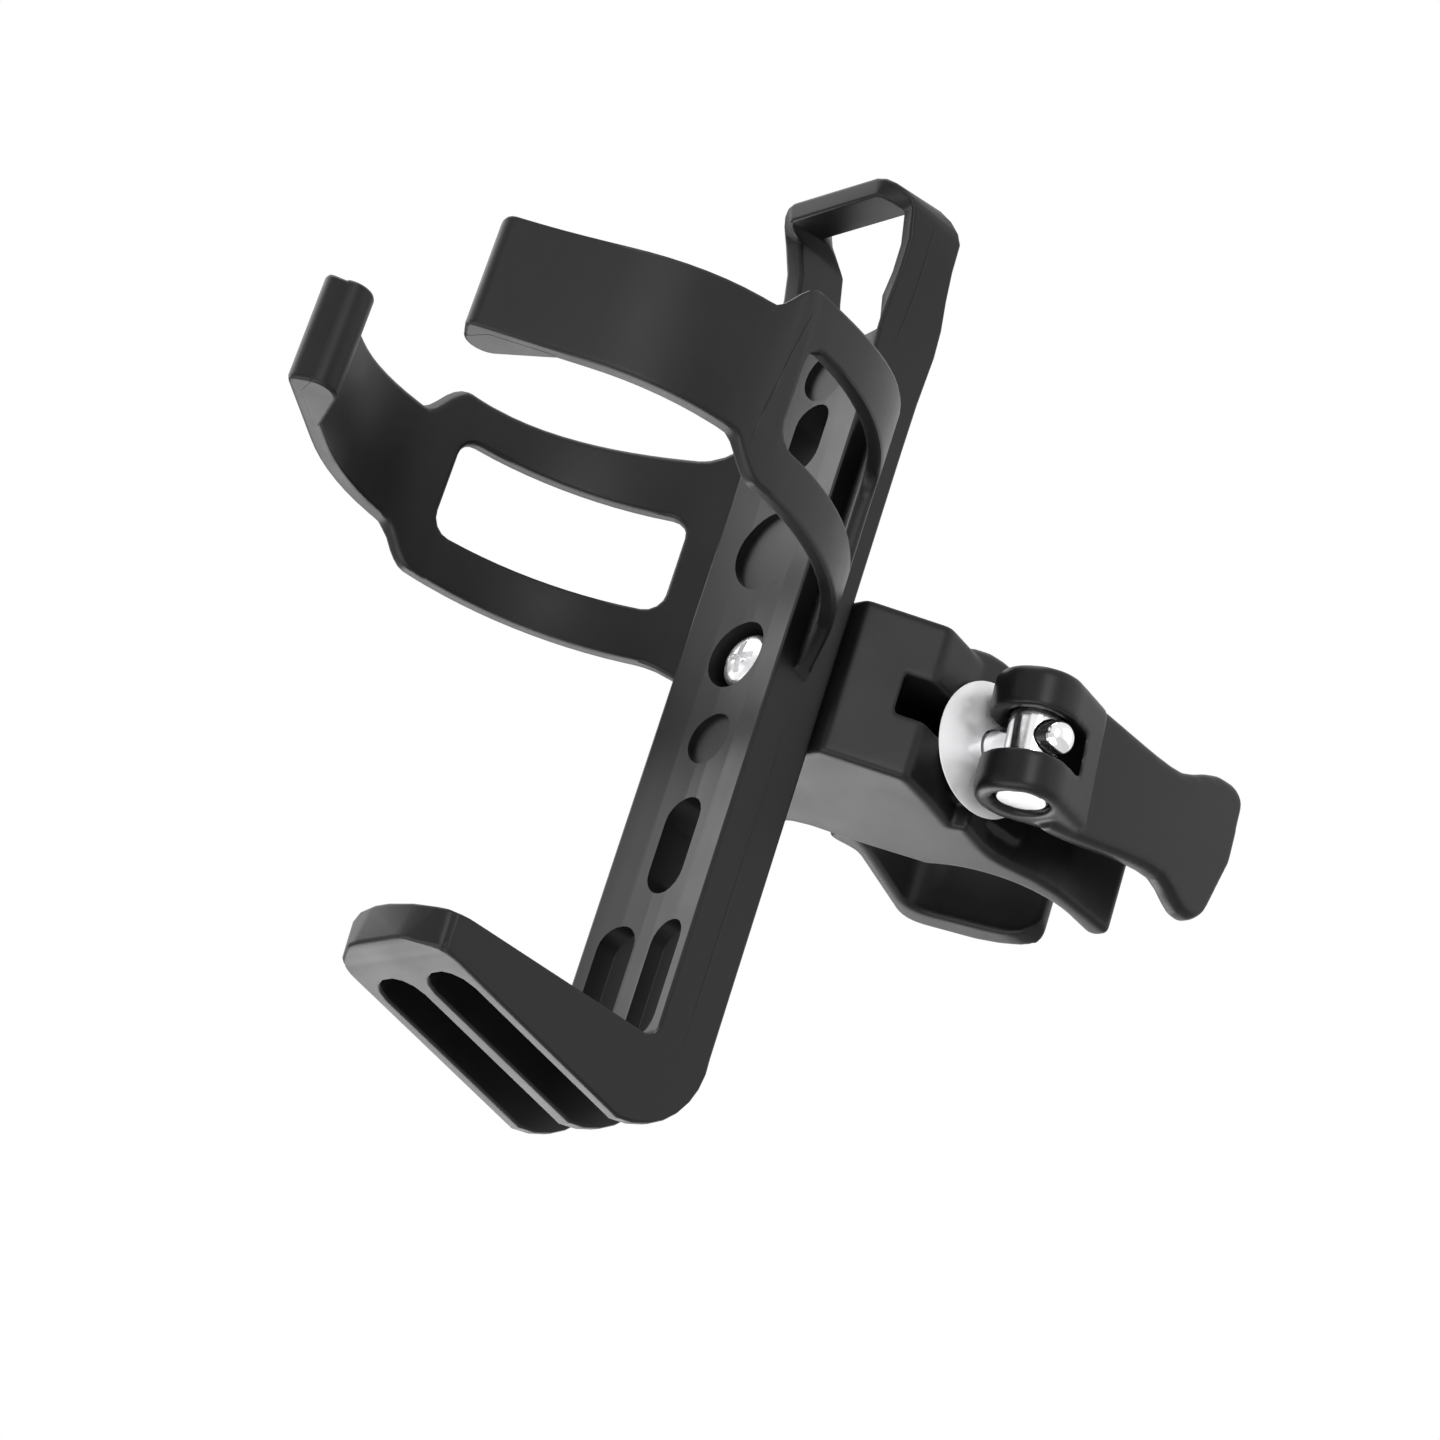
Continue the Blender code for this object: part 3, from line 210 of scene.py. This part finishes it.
def moulded_plastic(name, dark, pale, rough, grain_mm, bump_mm):
    """Satin black moulding: fine spark-eroded grain, faint flow marks and handling sheen."""
    made, tree, shader = principled(name)
    link = tree.links.new
    place = tree.nodes.new("ShaderNodeTexCoord")
    grain = node(tree, "ShaderNodeTexNoise", Scale=1 / (grain_mm * MM), Detail=3.0, Roughness=0.55)
    flow = node(tree, "ShaderNodeTexNoise", Scale=1 / FLOW_SIZE, Detail=4.0, Roughness=0.6)
    link(place.outputs["Object"], grain.inputs["Vector"])
    link(place.outputs["Object"], flow.inputs["Vector"])
    tint = tree.nodes.new("ShaderNodeValToRGB")
    first, last = tint.color_ramp.elements
    first.position = FLOW_DARK_AT
    first.color = (*dark, 1)
    last.position = FLOW_PALE_AT
    last.color = (*pale, 1)
    link(flow.outputs["Fac"], tint.inputs["Fac"])
    link(tint.outputs["Color"], shader.inputs["Base Color"])
    sheen = noise_range(tree, flow, rough - PLASTIC_SHEEN, rough + PLASTIC_SHEEN)
    link(sheen, shader.inputs["Roughness"])
    bump = node(tree, "ShaderNodeBump", Strength=PLASTIC_GRAIN, Distance=bump_mm * MM)
    link(grain.outputs["Fac"], bump.inputs["Height"])
    link(bump.outputs["Normal"], shader.inputs["Normal"])
    shader.inputs["Specular IOR Level"].default_value = PLASTIC_SPECULAR
    return made


def plated_metal(name, colour, rough, streak_axis, streak_mm, metallic=1.0):
    """Plated steel: turned or drawn streaks in the roughness and a very shallow bump."""
    made, tree, shader = principled(name)
    link = tree.links.new
    place = tree.nodes.new("ShaderNodeTexCoord")
    scale = [1 / (streak_mm * MM)] * 3
    scale[streak_axis] = scale[streak_axis] / STREAK_STRETCH
    stretch = node(tree, "ShaderNodeMapping", Scale=scale)
    streak = node(tree, "ShaderNodeTexNoise", Scale=1.0, Detail=3.0, Roughness=0.6)
    link(place.outputs["Object"], stretch.inputs["Vector"])
    link(stretch.outputs["Vector"], streak.inputs["Vector"])
    gloss = noise_range(tree, streak, rough * STREAK_SMOOTH, rough * STREAK_ROUGH)
    link(gloss, shader.inputs["Roughness"])
    bump = node(tree, "ShaderNodeBump", Strength=STREAK_BUMP, Distance=STREAK_DEPTH)
    link(streak.outputs["Fac"], bump.inputs["Height"])
    link(bump.outputs["Normal"], shader.inputs["Normal"])
    shader.inputs["Base Color"].default_value = (*colour, 1)
    shader.inputs["Metallic"].default_value = metallic
    return made


FINISH = {
    "cage_plastic": moulded_plastic("cage_plastic", PLASTIC_DARK, PLASTIC_PALE, rough=0.40, grain_mm=0.35,
                                    bump_mm=0.012),
    "clamp_plastic": moulded_plastic("clamp_plastic", PLASTIC_DARK, PLASTIC_PALE, rough=0.38, grain_mm=0.35,
                                     bump_mm=0.012),
    "lever_plastic": moulded_plastic("lever_plastic", PLASTIC_DARK, LEVER_PALE, rough=0.34, grain_mm=0.4,
                                     bump_mm=0.01),
    "bright_chrome": plated_metal("bright_chrome", CHROME, rough=0.16, streak_axis=0, streak_mm=0.25),
    "zinc_steel": plated_metal("zinc_steel", ZINC, rough=0.28, streak_axis=2, streak_mm=0.3),
}
NODE_FINISH = {
    "dished_washer": plated_metal("satin_plate", SATIN, rough=0.46, streak_axis=0, streak_mm=2.4,
                                  metallic=0.5),
    "cage_screw": plated_metal("screw_plate", CHROME, rough=0.3, streak_axis=1, streak_mm=1.6,
                               metallic=0.85),
}


def shown(name, mesh, node_name):
    """An object for the mesh with the node's finish, smooth but for sharp edges, that rides with its body."""
    slot = SLOT_OF[node_name]
    mesh.shade_smooth()
    mesh.set_sharp_from_angle(angle=math.radians(SHARP_DEG))
    mesh.materials.clear()
    mesh.materials.append(NODE_FINISH.get(node_name, FINISH[slot]))
    made = bpy.data.objects.new(name, mesh)
    bpy.context.collection.objects.link(made)
    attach(made, BODY_OF[node_name])
    return made


def meshed(name, shape):
    """A mesh of the shape with its faces turned outwards."""
    bmesh.ops.recalc_face_normals(shape, faces=shape.faces)
    mesh = bpy.data.meshes.new(name)
    shape.to_mesh(mesh)
    shape.free()
    return mesh


def join_rings(shape, first, second):
    """Faces between two closed rings of as many points."""
    size = len(first)
    for i in range(size):
        j = (i + 1) % size
        shape.faces.new((first[i], first[j], second[j], second[i]))


def close_ends(shape, first, last):
    """Flat faces on the two end rings."""
    shape.faces.new(first)
    shape.faces.new(list(reversed(last)))


def soften_edges(made, width):
    """Rounds the object's sharp edges a little."""
    soften = made.modifiers.new("soften", "BEVEL")
    soften.width = width
    soften.segments = EDGE_STEPS
    soften.limit_method = "ANGLE"
    soften.angle_limit = math.radians(SOFTEN_DEG)
    soften.use_clamp_overlap = True
    even = made.modifiers.new("even", "WEIGHTED_NORMAL")
    even.keep_sharp = True


def round_nose(shape):
    """Cuts the foot's nose across at even steps and draws its corners in to an ellipse."""
    for k in range(NOSE_CUTS):
        y = NOSE_Y + (NOSE_CUT_TO - NOSE_Y) * k / (NOSE_CUTS - 1)
        near = [f for f in shape.faces if max(v.co.z for v in f.verts) < NOSE_BELOW]
        near = [f for f in near if min(v.co.y for v in f.verts) < y < max(v.co.y for v in f.verts)]
        edges = {e for f in near for e in f.edges}
        verts = {v for f in near for v in f.verts}
        bmesh.ops.bisect_plane(shape, geom=[*verts, *edges, *near], dist=WELD, plane_co=(0, y, 0),
                               plane_no=(0, 1, 0))
    for vert in shape.verts:
        at = vert.co
        out = Vector((abs(at.x) - NOSE_X, NOSE_Y - at.y))
        if at.z < NOSE_BELOW and out.x > 0 and out.y > 0:
            way = out.normalized()
            edge = min(NOSE_SIDE / way.x, NOSE_SLANT_AT / way.dot(Vector(NOSE_SLANT)))
            ellipse = 1 / math.hypot(way.x / NOSE_SIDE, way.y / NOSE_FRONT)
            out *= min(1.0, ellipse / edge)
            at.x = math.copysign(NOSE_X + out.x, at.x)
            at.y = NOSE_Y - out.y


def raise_head(shape):
    """Draws the screw's head out of its seat, so that it shows in its hole as it does in the photograph."""
    under = max(v.co.y for v in shape.verts if math.hypot(v.co.x, v.co.z) > HEAD_FROM)
    for vert in shape.verts:
        if vert.co.y < under - WELD:
            vert.co.y -= HEAD_LIFT


RESHAPE = {"cage_body": round_nose, "cage_screw": raise_head}


def dressed(name):
    """The node's own shape, welded and shaded smooth with its edges kept, in place of the node."""
    mesh = NODES[name].data.copy()
    mesh.name = name + "_skin"
    shape = bmesh.new()
    shape.from_mesh(mesh)
    bmesh.ops.remove_doubles(shape, verts=shape.verts, dist=WELD)
    bmesh.ops.dissolve_limit(shape, angle_limit=math.radians(FLAT_DEG), verts=shape.verts, edges=shape.edges)
    if name in RESHAPE:
        RESHAPE[name](shape)
    shape.to_mesh(mesh)
    shape.free()
    made = shown(name + "_skin", mesh, name)
    soften_edges(made, EDGE_ROUND)
    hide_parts(name)


def moulded(name):
    """The node's shape meshed again on a fine grid with its edges softened, in place of the node."""
    blank = bpy.data.objects.new("blank", NODES[name].data.copy())
    bpy.context.collection.objects.link(blank)
    weld = blank.modifiers.new("weld", "WELD")
    weld.merge_threshold = WELD
    again = blank.modifiers.new("again", "REMESH")
    again.mode = "VOXEL"
    again.voxel_size = GRID
    soften = blank.modifiers.new("soften", "SMOOTH")
    soften.factor = SOFT_FACTOR
    soften.iterations = SOFT_PASSES[name]
    ready = bpy.context.evaluated_depsgraph_get()
    mesh = bpy.data.meshes.new_from_object(blank.evaluated_get(ready))
    bpy.data.objects.remove(blank)
    made = shown(name + "_skin", mesh, name)
    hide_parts(name)


def rolled_lip(side_name, side):
    """A roll inside the arm's tip, which thins out along the arm."""
    turn = math.radians(TIP_TURN_DEG)
    normal = Vector((math.sin(turn), math.cos(turn)))
    ahead = Vector((normal.y, -normal.x))
    tip = Vector((0.0, BOTTLE_Y)) + ARM_RADIUS * normal + TIP_RUN * ahead
    section = [(LIP_BACK, LIP_INSET)]
    for k in range(LIP_STEPS + 1):
        angle = math.radians(180 - LIP_STEP_DEG * k)
        section.append((LIP_BACK + LIP_RADIUS * math.cos(angle), LIP_RADIUS + LIP_RADIUS * math.sin(angle)))
    section += [(LIP_TAPER, LIP_ROOT), (LIP_TAPER, LIP_INSET)]
    shape = bmesh.new()
    ends = []
    for z in (LIP_BOTTOM, LIP_TOP):
        ring = []
        for back, inward in section:
            at = tip - back * ahead - inward * normal
            ring.append(shape.verts.new((side * at.x, at.y, z)))
        ends.append(ring)
    close_ends(shape, *ends)
    join_rings(shape, *ends)
    made = shown("rolled_lip_" + side_name, meshed("lip", shape), "cage_body")
    soften_edges(made, LIP_EDGE)


def turned(name, profile, sides, node_name):
    """A piece of the node turned about the bolt's line from (radius, x) points that run round its section."""
    shape = bmesh.new()
    rings = []
    for k in range(sides):
        angle = 2 * math.pi * k / sides
        ring = []
        for radius, x in profile:
            ring.append(shape.verts.new((x, BOLT_Y + radius * math.cos(angle), radius * math.sin(angle))))
        rings.append(ring)
    for first, second in zip(rings, rings[1:] + rings[:1]):
        join_rings(shape, first, second)
    bmesh.ops.remove_doubles(shape, verts=shape.verts, dist=WELD)
    bmesh.ops.dissolve_degenerate(shape, edges=shape.edges, dist=WELD)
    return shown(name, meshed(name, shape), node_name)


def domed_washer():
    """The bright washer under the lever: a thin dome with its round rim turned down to the clamp."""
    over = []
    under = []
    for k in range(DOME_STEPS + 1):
        radius = DOME_BORE + (DOME_RADIUS - DOME_RIM - DOME_BORE) * k / DOME_STEPS
        share = max(0.0, (radius - DOME_FLAT) / (DOME_RADIUS - DOME_FLAT))
        over.append((radius, DOME_CROWN - DOME_FALL * share**DOME_POWER))
        under.append((radius, DOME_UNDER + DOME_LIFT * share))
    high = over[-1][1]
    low = under[-1][1]
    rim = []
    for turn in RIM_TURNS_DEG:
        angle = math.radians(turn)
        reach = DOME_RADIUS - DOME_RIM * (1 - math.sin(angle))
        rim.append((reach, (high + low) / 2 + (high - low) / 2 * math.cos(angle)))
    section = over + rim + list(reversed(under))
    made = turned("dished_washer_skin", section, DOME_SIDES, "dished_washer")
    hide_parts("dished_washer")


def bolt_tip():
    """The round end of the bolt, past the barrel."""
    profile = [(0.0, TIP_FROM)]
    for k in range(TIP_STEPS + 1):
        angle = math.pi / 2 * k / TIP_STEPS
        profile.append((TIP_RADIUS * math.cos(angle), TIP_FROM + TIP_RISE * math.sin(angle)))
    turned("bolt_tip", profile, TIP_SIDES, "clamp_bolt")


def even_steps(points, count):
    """The points joined by straight runs and taken again at even steps."""
    flat = [Vector(p) for p in points]
    runs = [0.0]
    for first, second in zip(flat, flat[1:]):
        runs.append(runs[-1] + (second - first).length)
    made = []
    for k in range(count):
        run = runs[-1] * k / (count - 1)
        i = max(j for j in range(len(flat) - 1) if runs[j] <= run + TINY)
        share = (run - runs[i]) / (runs[i + 1] - runs[i])
        made.append(flat[i].lerp(flat[i + 1], share))
    return made


def seam(name, node_name, waypoints, side):
    """A fine raised line laid on the node's outer side along the given y and z points, thin at both ends."""
    mesh = NODES[node_name].data
    tree = BVHTree.FromPolygons([v.co for v in mesh.vertices], [p.vertices for p in mesh.polygons])
    shape = bmesh.new()
    rings = []
    last = SEAM_STEPS - 1
    path = even_steps([(y * MM, z * MM) for y, z in waypoints], SEAM_STEPS)
    for k, at in enumerate(path):
        start = Vector((side * SEAM_REACH, at.x, at.y))
        hit, normal, _, _ = tree.ray_cast(start, Vector((-side, 0, 0)))
        ahead = path[min(k + 1, last)] - path[max(k - 1, 0)]
        along = Vector((0, ahead.x, ahead.y)).normalized()
        across = normal.cross(along).normalized()
        taper = min(1.0, SEAM_TAPER * min(k, last - k) / SEAM_STEPS + SEAM_LEAST)
        ring = []
        for turn in range(SEAM_SIDES + 1):
            angle = math.pi * turn / SEAM_SIDES
            rise = SEAM_PROUD * math.sin(angle) * taper
            reach = SEAM_HALF * math.cos(angle) * taper
            ring.append(shape.verts.new(hit + normal * rise + across * reach))
        for sign in (-1, 1):
            ring.append(shape.verts.new(hit - normal * SEAM_SUNK + across * sign * SEAM_HALF * taper))
        rings.append(ring)
    for first, second in zip(rings, rings[1:]):
        join_rings(shape, first, second)
    close_ends(shape, rings[0], rings[-1])
    shown(name, meshed(name, shape), node_name)


def dress_part():
    """Puts every node's visible shape in its place and adds the small forms."""
    for name in list(NODES):
        if name in SOFT_PASSES:
            moulded(name)
        elif name != "dished_washer":
            dressed(name)
    domed_washer()
    bolt_tip()
    for side_name, side in (("right", 1), ("left", -1)):
        seam("spine_seam_" + side_name, "cage_body", SPINE_SEAM, side)
        seam("loop_seam_" + side_name, "cage_body", LOOP_SEAM, side)
        seam("band_crease_" + side_name, "cage_body", BAND_CREASE, side)
        rolled_lip(side_name, side)


def ray_seen(tree):
    """Socket that is 1 for what the camera sees directly, in a reflection or through glass."""
    path = tree.nodes.new("ShaderNodeLightPath")
    seen = path.outputs["Is Camera Ray"]
    for kind in ("Is Glossy Ray", "Is Transmission Ray"):
        either = tree.nodes.new("ShaderNodeMath")
        either.operation = "MAXIMUM"
        tree.links.new(seen, either.inputs[0])
        tree.links.new(path.outputs[kind], either.inputs[1])
        seen = either.outputs["Value"]
    return seen


def pale_floor():
    """A wide flat floor under the part."""
    mesh = bpy.data.meshes.new("floor")
    half = FLOOR_SIZE / 2
    corners = [(-half, -half, FLOOR_Z), (half, -half, FLOOR_Z), (half, half, FLOOR_Z), (-half, half, FLOOR_Z)]
    mesh.from_pydata(corners, [], [(0, 1, 2, 3)])
    floor = bpy.data.objects.new("floor", mesh)
    bpy.context.collection.objects.link(floor)
    paint, tree, shader = principled("floor_paint")
    shader.inputs["Base Color"].default_value = FLOOR_COLOUR
    shader.inputs["Roughness"].default_value = FLOOR_ROUGHNESS
    glow = node(tree, "ShaderNodeEmission", Color=FLOOR_GLOW)
    part = tree.nodes.new("ShaderNodeMath")
    part.operation = "MULTIPLY"
    part.inputs[1].default_value = FLOOR_SHARE
    tree.links.new(ray_seen(tree), part.inputs[0])
    blend = tree.nodes.new("ShaderNodeMixShader")
    tree.links.new(part.outputs["Value"], blend.inputs["Fac"])
    tree.links.new(shader.outputs["BSDF"], blend.inputs[1])
    tree.links.new(glow.outputs["Emission"], blend.inputs[2])
    tree.links.new(blend.outputs["Shader"], tree.nodes["Material Output"].inputs["Surface"])
    mesh.materials.append(paint)


def light_tent():
    """The white surroundings, dimmer overhead for the light that they cast."""
    world = bpy.data.worlds.new("studio")
    world.use_nodes = True
    tree = world.node_tree
    back = tree.nodes["Background"]
    back.inputs["Color"].default_value = TENT_COLOUR
    place = tree.nodes.new("ShaderNodeTexCoord")
    split = tree.nodes.new("ShaderNodeSeparateXYZ")
    tree.links.new(place.outputs["Generated"], split.inputs["Vector"])
    tent = node(tree, "ShaderNodeMapRange", From_Min=TENT_FROM, From_Max=TENT_TO, To_Min=TENT_LOW,
                To_Max=TENT_TOP)
    tent.interpolation_type = "SMOOTHSTEP"
    tree.links.new(split.outputs["Z"], tent.inputs["Value"])
    level = node(tree, "ShaderNodeMix", B=TENT_SEEN)
    tree.links.new(ray_seen(tree), level.inputs["Factor"])
    tree.links.new(tent.outputs["Result"], level.inputs["A"])
    tree.links.new(level.outputs["Result"], back.inputs["Strength"])
    bpy.context.scene.world = world


def soft_lamp(name, at, size, watts):
    """A rectangular lamp that faces the part and that the camera doesn't see."""
    lamp = bpy.data.lights.new(name, "AREA")
    lamp.shape = "RECTANGLE"
    lamp.size, lamp.size_y = size
    lamp.energy = watts
    made = bpy.data.objects.new(name, lamp)
    aim = Vector(LAMPS_FACE) - Vector(at)
    made.rotation_euler = aim.to_track_quat("-Z", "Y").to_euler()
    made.location = at
    made.visible_camera = False
    bpy.context.collection.objects.link(made)


def photo_camera():
    """The camera that took the photograph."""
    right = Vector(CAMERA_RIGHT).normalized()
    down = Vector(CAMERA_DOWN)
    down = (down - right * down.dot(right)).normalized()
    ahead = right.cross(down)
    turn = Matrix((right, -down, -ahead)).transposed()
    lens = bpy.data.cameras.new("camera")
    lens.sensor_width = SENSOR
    lens.lens = LENS
    lens.clip_start = CLIP_FROM
    made = bpy.data.objects.new("camera", lens)
    made.matrix_world = Matrix.Translation(CAMERA_AT) @ turn.to_4x4()
    bpy.context.collection.objects.link(made)
    bpy.context.scene.camera = made


dress_part()
pale_floor()
light_tent()
for lamp_name, lamp_at, lamp_size, lamp_watts in LAMPS:
    soft_lamp(lamp_name, lamp_at, lamp_size, lamp_watts)
bpy.context.scene.view_settings.view_transform = "Standard"
photo_camera()

bpy.context.view_layer.update()
